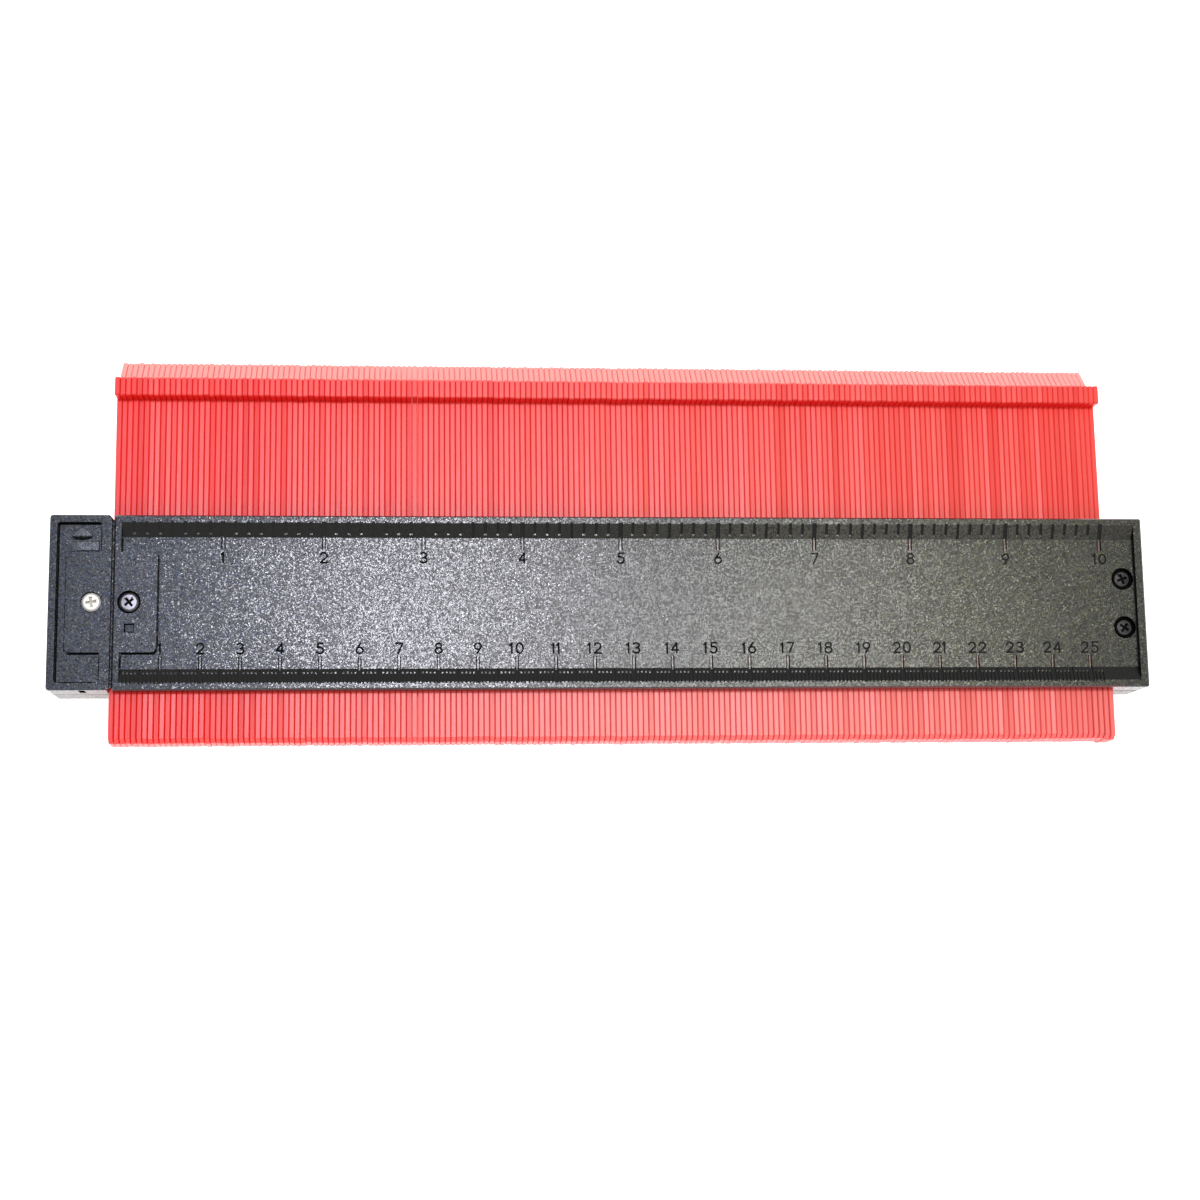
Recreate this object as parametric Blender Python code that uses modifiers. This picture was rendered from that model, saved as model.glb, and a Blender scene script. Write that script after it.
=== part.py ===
"""Contour gauge: a two-shell housing with a row of sliding fingers, an end block and its coupling.

Lengths are in millimetres. X runs along the housing and counts from the zero of its scales,
Y runs along the fingers and counts from the housing's middle, Z counts from its rear face.
place() turns them into metres with the origin in the middle of the rear face.
"""
import math

import bmesh
import bpy
from mathutils import Matrix

MM = 0.001

# Fingers
FINGERS, PER_GROUP = 184, 4
GROUPS = FINGERS // PER_GROUP
PITCH = 1.409
FINGER_GAP = 0.27
GROOVE_DEPTH = 1.0
GROOVE_STOP = 2.0
FINGERS_LEFT = -2.85
FINGERS_RIGHT = FINGERS_LEFT + FINGERS * PITCH
FINGER_LENGTH = 102.25
FOOT_Y = -35.5
TIP_Y = FOOT_Y + FINGER_LENGTH
SHOULDER_Y = 2.2
NOSE_LENGTH, RIDGE_WIDTH = 7.65, 4.9
RIDGE_TOP_Y = TIP_Y - NOSE_LENGTH
RIDGE_LOW_Y = RIDGE_TOP_Y - RIDGE_WIDTH
BACK_Z, WEB_Z, BODY_Z, RIDGE_Z = 3.3, 11.4, 14.05, 16.0
TIP_Z = 0.95

# Housing
GAP = 0.3
END_WALL = 8.45
CHANNEL_RIGHT = FINGERS_RIGHT + GAP
LEFT_END, RIGHT_END = -17.8, CHANNEL_RIGHT + END_WALL
HALF_WIDTH = 22.35
THICKNESS = 18.0
PARTING = THICKNESS / 2
MID_X = (LEFT_END + RIGHT_END) / 2
SHELL_LEFT = -1.7
EDGE_BEVEL = 0.35

# Recess of the front face: rim, sloped scale strips and panel
RIM = 1.85
PANEL_DEPTH = 1.6
PANEL_Z = THICKNESS - PANEL_DEPTH
STRIP_FOOT_Y = 16.9
RIGHT_RIM = 2.2
RECESS_LEFT, RECESS_RIGHT = 0.05, RIGHT_END - RIGHT_RIM

# Raised pad across the seam between the end block and the shells
PAD_LEFT, PAD_RIGHT = -13.5, 9.2
PAD_HALF = 12.8
PAD_ROUND = 1.4

# Channel for the fingers
CHANNEL_TOP = BODY_Z + GAP
LIP_Z = WEB_Z + GAP + 0.05
LIP_Y = 15.5
FLOOR_Z = BACK_Z - GAP
TRAVEL_UP = LIP_Y - SHOULDER_Y - GAP
TRAVEL_DOWN = RIDGE_LOW_Y - HALF_WIDTH - GAP

# Felt strips that brake the fingers
FELT_Y0, FELT_Y1 = 17.2, 20.6
FELT_THICK = 1.2
FELT_GAP = 0.2

# End block and the coupling that holds it
BLOCK_RIGHT = SHELL_LEFT - GAP
BLOCK_RIM_RIGHT = BLOCK_RIGHT - 0.35
RIM_STEP = 1.8
BLOCK_STEP = FINGERS_LEFT - 0.35
BLOCK_CHAMFER = 1.0
POCKET_RIGHT = -4.75
TONGUE_LEFT, BRACKET_RIGHT = -5.3, 8.0
TONGUE_HALF = 11.5
BRACKET_Z0, BRACKET_Z1 = 14.4, 15.4
TONGUE_Z0, TONGUE_Z1 = 1.2, 2.4
HOOK_THICK, HOOK_DROP = 1.0, 1.8
HOOKS = ((-10.5, -5.0), (3.5, 9.0))
RELEASE_TRAVEL = 5.8
LUG_X, LUG_Y = 2.44, -6.64
LUG_HALF_X, LUG_HALF_Y = 1.0, 0.85
BRACKET_ROUND = 1.5

# Screws
HEAD_R, SHANK_R = 2.4, 1.3
HOLE_GAP = 0.15
SILVER_X, BLACK_X = -7.15, 2.26
HOUSING_SCREW_X, HOUSING_SCREW_Y = RIGHT_END - 5.35, 6.45
HEAD_SEAT = 16.55
HOUSING_SEAT = 14.6
BLACK_RING_R = 2.95

BLACK_PLASTIC = (0.018, 0.018, 0.02, 1)
RED_PLASTIC = (0.85, 0.05, 0.05, 1)
ZINC = (0.62, 0.62, 0.6, 1)
BLACK_STEEL = (0.012, 0.012, 0.013, 1)
FELT = (0.05, 0.05, 0.05, 1)


def place(x, y, z):
    return ((x - MID_X) * MM, y * MM, z * MM)


def new_collection(name):
    collection = bpy.data.collections.new(name)
    bpy.context.scene.collection.children.link(collection)
    return collection


for old in list(bpy.data.objects):
    bpy.data.objects.remove(old, do_unlink=True)
GAUGE = new_collection("contour_gauge")
CUTTERS = new_collection("cutters")


def mesh_object(name, mesh, collection):
    obj = bpy.data.objects.new(name, mesh)
    collection.objects.link(obj)
    if collection is CUTTERS:
        obj.hide_render = True
        obj.display_type = "WIRE"
    return obj


def settle(mesh):
    """Joins doubled corners and turns all faces outwards."""
    bm = bmesh.new()
    bm.from_mesh(mesh)
    bmesh.ops.remove_doubles(bm, verts=bm.verts, dist=1e-7)
    bmesh.ops.recalc_face_normals(bm, faces=bm.faces)
    bm.to_mesh(mesh)
    bm.free()


def evaluated_mesh(obj, name):
    """A plain mesh of what obj shows, with obj's own data removed."""
    depsgraph = bpy.context.evaluated_depsgraph_get()
    mesh = bpy.data.meshes.new_from_object(obj.evaluated_get(depsgraph))
    mesh.name = name
    mesh.transform(obj.matrix_world)
    bpy.data.objects.remove(obj, do_unlink=True)
    settle(mesh)
    return mesh


def prism(name, points, start, end, axis, collection):
    """The closed outline points, extruded along axis from start to end.

    Points are (x, y) for axis Z, (y, z) for axis X.
    """
    curve = bpy.data.curves.new(name, "CURVE")
    curve.dimensions = "2D"
    curve.fill_mode = "BOTH"
    curve.extrude = (end - start) / 2 * MM
    spline = curve.splines.new("POLY")
    spline.points.add(len(points) - 1)
    for point, (a, b) in zip(spline.points, points):
        shift = MID_X if axis == "Z" else 0
        point.co = ((a - shift) * MM, b * MM, 0, 1)
    spline.use_cyclic_u = True
    obj = bpy.data.objects.new(name, curve)
    bpy.context.scene.collection.objects.link(obj)
    if axis == "X":
        obj.rotation_euler = (math.pi / 2, 0, math.pi / 2)
        obj.location.x = ((start + end) / 2 - MID_X) * MM
    else:
        obj.location.z = (start + end) / 2 * MM
    bpy.context.view_layer.update()
    return mesh_object(name, evaluated_mesh(obj, name), collection)


def box(name, x, y, z, collection=None):
    """A box from three (low, high) pairs."""
    size = [(pair[1] - pair[0]) * MM for pair in (x, y, z)]
    middle = place(*[(pair[0] + pair[1]) / 2 for pair in (x, y, z)])
    bm = bmesh.new()
    bmesh.ops.create_cube(bm, size=1.0)
    bmesh.ops.scale(bm, vec=size, verts=bm.verts)
    bmesh.ops.translate(bm, vec=middle, verts=bm.verts)
    mesh = bpy.data.meshes.new(name)
    bm.to_mesh(mesh)
    bm.free()
    return mesh_object(name, mesh, collection or CUTTERS)


def revolved(name, profile, centre, collection, steps=24):
    """A solid of revolution about a line along Z; profile is (radius, z) pairs from axis to axis."""
    mesh = bpy.data.meshes.new(name)
    corners = [(r * MM, 0, z * MM) for r, z in profile]
    edges = [(i, i + 1) for i in range(len(corners) - 1)]
    mesh.from_pydata(corners, edges, [])
    obj = bpy.data.objects.new(name, mesh)
    bpy.context.scene.collection.objects.link(obj)
    turn = obj.modifiers.new("Turn", "SCREW")
    turn.steps = steps
    turn.render_steps = steps
    turn.use_merge_vertices = True
    turn.merge_threshold = 1e-6
    obj.location = place(centre[0], centre[1], 0)
    bpy.context.view_layer.update()
    return mesh_object(name, evaluated_mesh(obj, name), collection)


def combine(obj, other, operation="DIFFERENCE"):
    """Adds an exact boolean of obj with other."""
    step = obj.modifiers.new(other.name, "BOOLEAN")
    step.operation = operation
    step.solver = "EXACT"
    step.object = other


def bevel(obj, width, segments=1):
    step = obj.modifiers.new("Edges", "BEVEL")
    step.width = width * MM
    step.segments = segments
    step.limit_method = "ANGLE"
    step.angle_limit = math.radians(40)


def colour(obj, base, roughness, metallic=0.0):
    """Gives obj a material of its own, held by the object because some share a mesh."""
    material = bpy.data.materials.new(obj.name)
    material.use_nodes = True
    shader = material.node_tree.nodes["Principled BSDF"]
    shader.inputs["Base Color"].default_value = base
    shader.inputs["Roughness"].default_value = roughness
    shader.inputs["Metallic"].default_value = metallic
    if not obj.material_slots:
        obj.data.materials.append(None)
    obj.material_slots[0].link = "OBJECT"
    obj.material_slots[0].material = material


def smooth(obj, angle=35):
    obj.data.shade_smooth()
    obj.data.set_sharp_from_angle(angle=math.radians(angle))


def rounded(x0, x1, y0, y1, corners):
    """Corner points of a rectangle; corners holds (radius, cuts) from low-left anticlockwise."""
    points = []
    spots = ((x0, y0, 1, 1), (x1, y0, -1, 1), (x1, y1, -1, -1), (x0, y1, 1, -1))
    for (x, y, sx, sy), (radius, cuts), turn in zip(spots, corners, (180, 270, 0, 90)):
        if radius == 0:
            points.append((x, y))
            continue
        for k in range(cuts + 1):
            angle = math.radians(turn + 90 * k / cuts)
            cx, cy = x + sx * radius, y + sy * radius
            points.append((cx + radius * math.cos(angle), cy + radius * math.sin(angle)))
    return points


# Cutters shared by both shells and by the front recess
recess_top = THICKNESS + 1.0
slope = (HALF_WIDTH - RIM - STRIP_FOOT_Y) / (THICKNESS - PANEL_Z)
wide = HALF_WIDTH - RIM + slope * (recess_top - THICKNESS)
recess_outline = [
    (-STRIP_FOOT_Y, PANEL_Z),
    (STRIP_FOOT_Y, PANEL_Z),
    (wide, recess_top),
    (-wide, recess_top),
]
recess = prism("recess", recess_outline, RECESS_LEFT, RECESS_RIGHT, "X", CUTTERS)
pad_outline = rounded(-4, PAD_RIGHT, -PAD_HALF, PAD_HALF, ((0, 0), (PAD_ROUND, 4), (PAD_ROUND, 4), (0, 0)))
shell_pad = prism("shell_pad", pad_outline, 10, 30, "Z", CUTTERS)
combine(recess, shell_pad)

front_channel_outline = [
    (-30, PARTING - 1),
    (30, PARTING - 1),
    (30, LIP_Z),
    (LIP_Y, LIP_Z),
    (LIP_Y, CHANNEL_TOP),
    (-30, CHANNEL_TOP),
]
front_channel = prism("front_channel", front_channel_outline, -10, CHANNEL_RIGHT, "X", CUTTERS)
rear_channel = box("rear_channel", (-10, CHANNEL_RIGHT), (-30, 30), (FLOOR_Z, PARTING + 1))
felt_x = (SHELL_LEFT + 0.5, CHANNEL_RIGHT - 0.3)
groove_x = (felt_x[0] - FELT_GAP, felt_x[1] + FELT_GAP)
groove_y = (FELT_Y0 - FELT_GAP, FELT_Y1 + FELT_GAP)
front_felt_z = (LIP_Z, LIP_Z + FELT_THICK)
rear_felt_z = (FLOOR_Z - FELT_THICK, FLOOR_Z)
front_groove = box("front_groove", groove_x, groove_y, (LIP_Z - 1, front_felt_z[1] + FELT_GAP))
rear_groove = box("rear_groove", groove_x, groove_y, (rear_felt_z[0] - FELT_GAP, FLOOR_Z + 1))

# Screw holes
hole_r = SHANK_R + HOLE_GAP
housing_hole_profile = [
    (0, FLOOR_Z + 0.2),
    (hole_r, FLOOR_Z + 0.2),
    (hole_r, HOUSING_SEAT),
    (BLACK_RING_R, HOUSING_SEAT),
    (BLACK_RING_R, recess_top),
    (0, recess_top),
]
housing_holes = [
    revolved(f"housing_hole_{side}", housing_hole_profile, (HOUSING_SCREW_X, y), CUTTERS)
    for side, y in (("upper", HOUSING_SCREW_Y), ("lower", -HOUSING_SCREW_Y))
]


def seat_cutter(name, x, ring, low):
    """The stepped hole of a screw whose head sits in the pad."""
    profile = [
        (0, low),
        (hole_r, low),
        (hole_r, HEAD_SEAT),
        (ring, HEAD_SEAT),
        (ring, recess_top),
        (0, recess_top),
    ]
    return revolved(name, profile, (x, 0), CUTTERS)


bracket_hole = seat_cutter("bracket_hole", BLACK_X, BLACK_RING_R, CHANNEL_TOP - 1)
block_hole = seat_cutter("block_hole", SILVER_X, HEAD_R + 0.25, FLOOR_Z + 0.2)

# Front shell
shell_x = (SHELL_LEFT, RIGHT_END)
shell_y = (-HALF_WIDTH, HALF_WIDTH)
front_shell = box("front_shell", shell_x, shell_y, (PARTING + GAP / 2, THICKNESS), GAUGE)
bevel(front_shell, EDGE_BEVEL)
bracket_slot = box(
    "bracket_slot",
    (-10, BRACKET_RIGHT + GAP),
    (-TONGUE_HALF - GAP, TONGUE_HALF + GAP),
    (CHANNEL_TOP - 1, BRACKET_Z1 + GAP),
)
lug_x, lug_y = (LUG_X - LUG_HALF_X, LUG_X + LUG_HALF_X), (LUG_Y - LUG_HALF_Y, LUG_Y + LUG_HALF_Y)
window_x, window_y = (lug_x[0] - GAP, lug_x[1] + GAP), (lug_y[0] - GAP, lug_y[1] + GAP)
lug_window = box("lug_window", window_x, window_y, (CHANNEL_TOP - 0.3, recess_top))
for cutter in (front_channel, front_groove, recess, bracket_slot, lug_window, bracket_hole):
    combine(front_shell, cutter)
for cutter in housing_holes:
    combine(front_shell, cutter)
colour(front_shell, BLACK_PLASTIC, 0.45)

# Rear shell with its tongue and hooks
rear_shell = box("rear_shell", shell_x, shell_y, (0, PARTING - GAP / 2), GAUGE)
bevel(rear_shell, EDGE_BEVEL)
for cutter in (rear_channel, rear_groove, *housing_holes):
    combine(rear_shell, cutter)
tongue = box("tongue", (TONGUE_LEFT, 1.0), (-TONGUE_HALF, TONGUE_HALF), (TONGUE_Z0, TONGUE_Z1))
combine(rear_shell, tongue, "UNION")
hook_x = (TONGUE_LEFT + 0.05, TONGUE_LEFT + HOOK_THICK)
for k, reach in enumerate(HOOKS):
    hook = box(f"rear_hook_{k + 1}", hook_x, reach, (TONGUE_Z0 + 0.6, TONGUE_Z1 + HOOK_DROP))
    combine(rear_shell, hook, "UNION")
colour(rear_shell, BLACK_PLASTIC, 0.45)

# Bracket under the pad, with the same hooks turned the other way
bracket_outline = rounded(
    TONGUE_LEFT,
    BRACKET_RIGHT,
    -TONGUE_HALF,
    TONGUE_HALF,
    ((0, 0), (BRACKET_ROUND, 4), (BRACKET_ROUND, 4), (0, 0)),
)
coupling_bracket = prism("coupling_bracket", bracket_outline, BRACKET_Z0, BRACKET_Z1, "Z", GAUGE)
for k, reach in enumerate(HOOKS):
    hook = box(f"front_hook_{k + 1}", hook_x, reach, (BRACKET_Z0 - HOOK_DROP, BRACKET_Z0 + 0.6))
    combine(coupling_bracket, hook, "UNION")
lug_z = (BRACKET_Z0 + 0.4, THICKNESS - 0.6)
lug = box("lug", lug_x, lug_y, lug_z)
combine(coupling_bracket, lug, "UNION")
combine(coupling_bracket, bracket_hole)
colour(coupling_bracket, BLACK_STEEL, 0.4, 0.6)

# End block in two halves
block_outline = rounded(
    LEFT_END,
    BLOCK_RIGHT,
    -HALF_WIDTH,
    HALF_WIDTH,
    ((0.7, 3), (BLOCK_CHAMFER, 1), (BLOCK_CHAMFER, 1), (0.7, 3)),
)
end_block_front = prism("end_block_front", block_outline, PARTING + GAP / 2, THICKNESS, "Z", GAUGE)
end_block_rear = prism("end_block_rear", block_outline, 0, PARTING - GAP / 2, "Z", GAUGE)
block_channel = box("block_channel", (BLOCK_STEP, 0), (-30, 30), (FLOOR_Z - GAP, CHANNEL_TOP))
front_rim_step = box("front_rim_step", (BLOCK_RIM_RIGHT, 0), (-30, 30), (THICKNESS - RIM_STEP, 30))
rear_rim_step = box("rear_rim_step", (BLOCK_RIM_RIGHT, 0), (-30, 30), (-10, RIM_STEP))

pocket_half = HALF_WIDTH - RIM
pocket_outline = rounded(LEFT_END + RIM, POCKET_RIGHT, -pocket_half, pocket_half, ((0.8, 2),) * 4)
pocket = prism("pocket", pocket_outline, PANEL_Z, recess_top, "Z", CUTTERS)
block_pad_outline = rounded(
    PAD_LEFT, 0, -PAD_HALF, PAD_HALF, ((PAD_ROUND, 4), (0, 0), (0, 0), (PAD_ROUND, 4))
)
block_pad = prism("block_pad", block_pad_outline, 10, 30, "Z", CUTTERS)
combine(pocket, block_pad)

slot_y = (-TONGUE_HALF - RELEASE_TRAVEL - GAP, TONGUE_HALF + GAP)
hook_room_x = (TONGUE_LEFT - GAP, TONGUE_LEFT + HOOK_THICK + GAP)
hook_room_y = (HOOKS[0][0] - RELEASE_TRAVEL - GAP, HOOKS[1][1] + GAP)
front_hook_z = (BRACKET_Z0 - HOOK_DROP - GAP, BRACKET_Z0)
rear_hook_z = (TONGUE_Z1, TONGUE_Z1 + HOOK_DROP + GAP)
front_slot = box("front_slot", (hook_room_x[0], 0), slot_y, (BRACKET_Z0 - GAP, BRACKET_Z1 + GAP))
rear_slot = box("rear_slot", (hook_room_x[0], 0), slot_y, (TONGUE_Z0 - GAP, TONGUE_Z1 + GAP))
for half, side, slot, room_z in (
    (end_block_front, "front", front_slot, front_hook_z),
    (end_block_rear, "rear", rear_slot, rear_hook_z),
):
    bevel(half, EDGE_BEVEL)
    combine(half, block_channel)
    combine(half, slot)
    combine(half, box(f"{side}_hook_room", hook_room_x, hook_room_y, room_z))
    for k, reach in enumerate(HOOKS):
        gate_y = (reach[0] - RELEASE_TRAVEL - GAP, reach[1] - RELEASE_TRAVEL + 0.1)
        combine(half, box(f"{side}_gate_{k + 1}", (hook_room_x[1] - 0.2, 0), gate_y, room_z))
    combine(half, block_hole)
    colour(half, BLACK_PLASTIC, 0.45)
combine(end_block_front, pocket)
combine(end_block_front, front_rim_step)
combine(end_block_rear, rear_rim_step)

# Felt strips
felt_strip_front = box(
    "felt_strip_front", felt_x, (FELT_Y0, FELT_Y1), (front_felt_z[0] - 0.05, front_felt_z[1]), GAUGE
)
felt_strip_rear = box("felt_strip_rear", felt_x, (FELT_Y0, FELT_Y1), rear_felt_z, GAUGE)
for strip in (felt_strip_front, felt_strip_rear):
    colour(strip, FELT, 0.95)


def cross(name, centre, top, turn):
    """The cross-shaped recess of a screw head, turned by some degrees."""
    arm, half = 1.35, 0.33
    ca, sa = math.cos(math.radians(turn)), math.sin(math.radians(turn))
    corners = [
        (half, half), (half, arm), (-half, arm), (-half, half), (-arm, half), (-arm, -half),
        (-half, -half), (-half, -arm), (half, -arm), (half, -half), (arm, -half), (arm, half),
    ]
    outline = [(centre[0] + a * ca - b * sa, centre[1] + a * sa + b * ca) for a, b in corners]
    return prism(name, outline, top - 0.9, top + 1, "Z", CUTTERS)


def screw(name, centre, seat, low, base, metallic, turn):
    """A pan-head screw with its head 0.3 mm off its seat."""
    bottom = seat + GAP * 0.5
    profile = [
        (0, low - 0.6),
        (SHANK_R * 0.5, low - 0.6),
        (SHANK_R, low),
        (SHANK_R, bottom),
        (HEAD_R, bottom),
        (HEAD_R, bottom + 0.75),
        (HEAD_R - 0.5, bottom + 1.2),
        (0, bottom + 1.3),
    ]
    obj = revolved(name, profile, centre, GAUGE)
    combine(obj, cross(f"{name}_cross", centre, bottom + 1.3, turn))
    colour(obj, base, 0.3, metallic)
    smooth(obj)
    return obj


end_block_screw = screw("end_block_screw", (SILVER_X, 0), HEAD_SEAT, FLOOR_Z + 1.2, ZINC, 1.0, 8)
screw("bracket_screw", (BLACK_X, 0), HEAD_SEAT, BRACKET_Z0 + 0.7, BLACK_STEEL, 0.8, 38)
for side, y, turn in (("upper", HOUSING_SCREW_Y, 21), ("lower", -HOUSING_SCREW_Y, 54)):
    screw(
        f"housing_screw_{side}", (HOUSING_SCREW_X, y), HOUSING_SEAT, FLOOR_Z + 1.2, BLACK_STEEL, 0.8, turn
    )

# The end block's pieces hang on an empty on the line they slide along
block_slide = bpy.data.objects.new("end_block_slide", None)
GAUGE.objects.link(block_slide)
block_slide.location = place((LEFT_END + BLOCK_RIGHT) / 2, 0, PARTING)
bpy.context.view_layer.update()
for piece in (end_block_front, end_block_rear, end_block_screw):
    piece.parent = block_slide
    piece.matrix_parent_inverse = block_slide.matrix_world.inverted()

# Fingers. They touch along their flanks, and a group of them slides as one solid, so that the
# flanks of a group are fused and only the open edges between its fingers are cut
finger_outline = [
    (FOOT_Y + 1.0, BACK_Z),
    (RIDGE_TOP_Y - 1.1, BACK_Z),
    (RIDGE_TOP_Y + 1.9, TIP_Z),
    (TIP_Y - 0.5, TIP_Z),
    (TIP_Y, TIP_Z + 0.55),
    (RIDGE_TOP_Y, TIP_Z + 0.55 + TIP_Y - RIDGE_TOP_Y),
    (RIDGE_TOP_Y, RIDGE_Z),
    (RIDGE_LOW_Y, RIDGE_Z),
    (RIDGE_LOW_Y, WEB_Z),
    (SHOULDER_Y, WEB_Z),
    (SHOULDER_Y, BODY_Z),
    (FOOT_Y + 1.4, BODY_Z),
    (FOOT_Y + 0.2, BODY_Z - 1.6),
    (FOOT_Y, (BACK_Z + BODY_Z) / 2),
    (FOOT_Y + 0.2, BACK_Z + 1.6),
]
group_width = PER_GROUP * PITCH - FINGER_GAP
group_x = (MID_X - group_width / 2, MID_X + group_width / 2)
master = prism("finger_group", finger_outline, *group_x, "X", CUTTERS)
groove_outline = [
    (-60, -10),
    (FOOT_Y + 0.9, -10),
    (FOOT_Y + 0.9, WEB_Z - GROOVE_DEPTH),
    (RIDGE_TOP_Y - GROOVE_STOP, WEB_Z - GROOVE_DEPTH),
    (TIP_Y - 1.3, TIP_Z - 1.0),
    (TIP_Y - 1.3, -10),
    (90, -10),
    (90, 30),
    (-60, 30),
]
for k in range(PER_GROUP - 1):
    middle = MID_X + (k + 1 - PER_GROUP / 2) * PITCH
    sides = (middle - FINGER_GAP / 2, middle + FINGER_GAP / 2)
    groove = prism(f"finger_groove_{k + 1}", groove_outline, *sides, "X", CUTTERS)
    combine(master, groove)
group_mesh = evaluated_mesh(master, "finger_group")
group_mesh.transform(Matrix.Translation((0, 0, -PARTING * MM)))
for group in range(GROUPS):
    middle = FINGERS_LEFT + (group + 0.5) * PER_GROUP * PITCH
    fingers = mesh_object(f"finger_group_{group + 1:02d}", group_mesh, GAUGE)
    fingers.location = place(middle, 0, PARTING)
    colour(fingers, RED_PLASTIC, 0.4)
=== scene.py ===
# %% [markdown]
# # A contour gauge, dressed
# The gauge is a black two-shell housing that holds a row of thin red fingers. Pressed against a
# moulding, the fingers slide and keep its outline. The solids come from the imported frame, in
# metres, and stay where they are. This script gives each of them the finish of the real piece and
# adds what the solids leave out: single fingers, engraved scales and their numbers, and grain.

# %% The frame
import math

import bmesh
import bpy
import numpy as np
from mathutils import Matrix, Vector


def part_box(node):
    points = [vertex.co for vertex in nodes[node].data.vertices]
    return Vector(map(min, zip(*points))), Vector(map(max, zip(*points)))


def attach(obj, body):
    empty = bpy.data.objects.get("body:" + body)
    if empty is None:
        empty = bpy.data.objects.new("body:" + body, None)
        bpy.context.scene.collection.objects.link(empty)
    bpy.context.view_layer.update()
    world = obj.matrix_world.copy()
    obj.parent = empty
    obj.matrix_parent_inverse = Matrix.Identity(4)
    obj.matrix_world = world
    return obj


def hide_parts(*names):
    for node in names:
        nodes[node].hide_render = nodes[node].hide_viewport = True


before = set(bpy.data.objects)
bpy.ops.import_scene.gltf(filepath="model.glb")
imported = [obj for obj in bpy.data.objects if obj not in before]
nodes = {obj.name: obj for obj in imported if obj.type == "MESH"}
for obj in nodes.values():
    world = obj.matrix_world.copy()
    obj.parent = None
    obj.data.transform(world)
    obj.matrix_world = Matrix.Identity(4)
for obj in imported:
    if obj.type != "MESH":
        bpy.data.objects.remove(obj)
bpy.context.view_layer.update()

# %% [markdown]
# ## One ruler for everything
# The drawing of the gauge counts in millimetres: X from the zero of its scales, Y from the middle
# of the housing, Z from its rear face. One function turns such a table of points into metres in
# the frame, so every later cell can speak in the numbers that a ruler would show.

# %% Ruler
MM = 0.001
INCH = 25.4
SHELL_LEFT = -1.7
front_box, block_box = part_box("front_shell"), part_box("end_block_front")
ZERO_X = front_box[0].x / MM - SHELL_LEFT
RIGHT_END = front_box[1].x / MM - ZERO_X
LEFT_END = block_box[0].x / MM - ZERO_X
THICKNESS = front_box[1].z / MM
HALF_WIDTH = front_box[1].y / MM


def metres(points):
    """Millimetres from the zero of the scales, as an array of metres in the frame."""
    return (np.asarray(points, float) + (ZERO_X, 0, 0)) * MM


print("scale zero at", round(ZERO_X, 3), "mm")
print("housing from", round(LEFT_END, 2), "to", round(RIGHT_END, 2), "mm on the scale")

# %% [markdown]
# ## Camera
# The photograph looks down on the gauge from a little left of its middle and a little below it.
# Place, turn and lens were worked out from corners of the housing and ticks of the scales, so
# they are typed in here as they came out: the three columns are the camera's right, up and back.

# %% Camera
camera = bpy.data.objects.new("camera", bpy.data.cameras.new("camera"))
bpy.context.scene.collection.objects.link(camera)
bpy.context.scene.camera = camera
right, up, back = (
    (0.996134, -0.014245, 0.086683),
    (-0.000172, 0.986446, 0.164084),
    (-0.087845, -0.163465, 0.982630),
)
turn = Matrix((right, up, back)).transposed().to_4x4()
camera.matrix_world = Matrix.Translation((-0.0498, -0.08778, 0.54873)) @ turn
camera.data.sensor_width = 36.0
camera.data.lens = 63.108
camera.data.clip_start, camera.data.clip_end = 0.02, 20.0
print("lens", round(camera.data.lens, 1), "mm, height", round(camera.location.z, 3), "m")

# %% [markdown]
# ## Light and floor
# The photograph is a studio picture on white. An even white surrounding gives the dark plastic its
# soft grey. The panel's glint comes from lamps that stand where it mirrors them: the key lamp makes
# the bright spot left of the middle, and two weaker ones carry it on to the right. One large lamp
# would do the same more simply, but small ones make the grain sparkle. The low and the warm lamp
# light the lower sides, and the two fills tint the ends blue and olive, as in the photograph.

# %% Light
world = bpy.data.worlds.new("studio")
bpy.context.scene.world = world
world.use_nodes = True
world.node_tree.nodes["Background"].inputs["Color"].default_value = (1.0, 1.0, 1.0, 1.0)
world.node_tree.nodes["Background"].inputs["Strength"].default_value = 0.6
bpy.context.scene.view_settings.view_transform = "Standard"


def lamp(name, place, aim, size, radiance, tint=(1, 1, 1)):
    """A soft lamp at place that faces aim, both in millimetres from the scale zero. Its power is
    its radiance times its area times pi."""
    data = bpy.data.lights.new(name, "AREA")
    data.shape = "RECTANGLE"
    data.size, data.size_y = size
    data.energy = radiance * size[0] * size[1] * math.pi
    data.color = tint
    obj = bpy.data.objects.new(name, data)
    bpy.context.scene.collection.objects.link(obj)
    start, end = (Vector(metres([p])[0]) for p in (place, aim))
    turn = (end - start).to_track_quat("-Z", "Y").to_matrix().to_4x4()
    obj.matrix_world = Matrix.Translation(start) @ turn
    return obj


lamp("key_lamp", (64, 225, 1500), (100, 0, 0), (0.12, 0.12), 112.0, (0.9, 0.9, 1.0))
lamp("second_lamp", (305, 210, 1500), (150, 0, 0), (0.12, 0.12), 31.0, (1.0, 1.0, 0.98))
lamp("third_lamp", (475, 200, 1500), (200, 0, 0), (0.12, 0.12), 27.0, (1.0, 1.0, 0.95))
lamp("low_lamp", (480, 20, 1500), (200, -20, 0), (0.56, 0.26), 2.5, (1.0, 0.98, 0.95))
lamp("warm_lamp", (540, -850, 1200), (220, 0, 0), (0.4, 0.4), 3.0, (1.0, 0.95, 0.75))
lamp("blue_fill", (-190, 245, 1500), (-10, 0, 0), (0.12, 0.12), 10.0, (0.2, 0.4, 1.0))
lamp("olive_fill", (610, 245, 1500), (230, 0, 0), (0.15, 0.15), 6.7, (1.0, 1.0, 0.25))

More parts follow.
